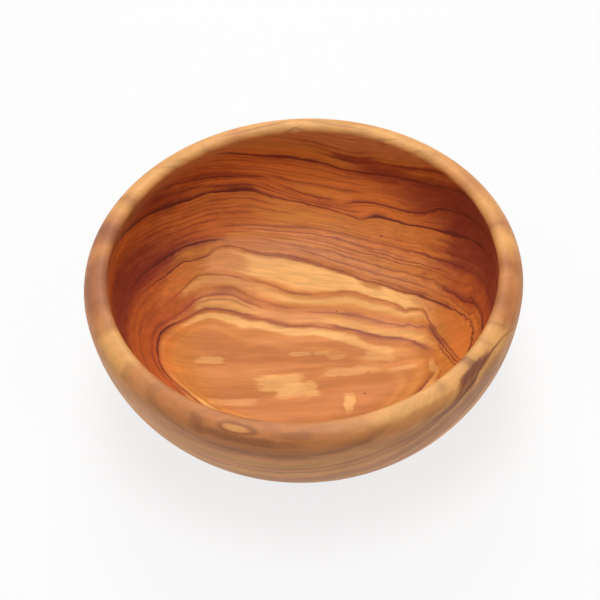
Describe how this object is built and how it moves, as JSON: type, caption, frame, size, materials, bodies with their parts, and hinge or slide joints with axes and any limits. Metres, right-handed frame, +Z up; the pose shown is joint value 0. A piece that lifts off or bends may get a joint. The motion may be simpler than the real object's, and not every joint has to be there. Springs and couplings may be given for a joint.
{
  "type": "bowl",
  "caption": "Round turned wooden bowl with a rounded rim, a curved side and a flat foot, for serving or holding food and small things.",
  "frame": {"origin": "middle of the flat foot, on the surface that the bowl stands on", "axes": "+Z up along the turning axis, towards the mouth; the grain runs along X and the pictured front faces -Y"},
  "size_m": [0.14, 0.14, 0.052],
  "materials": {
    "olive_wood": "oiled, satin, with dark figured grain"
  },
  "bodies": {
    "root": {"bowl": "olive_wood"}
  },
  "joints": []
}
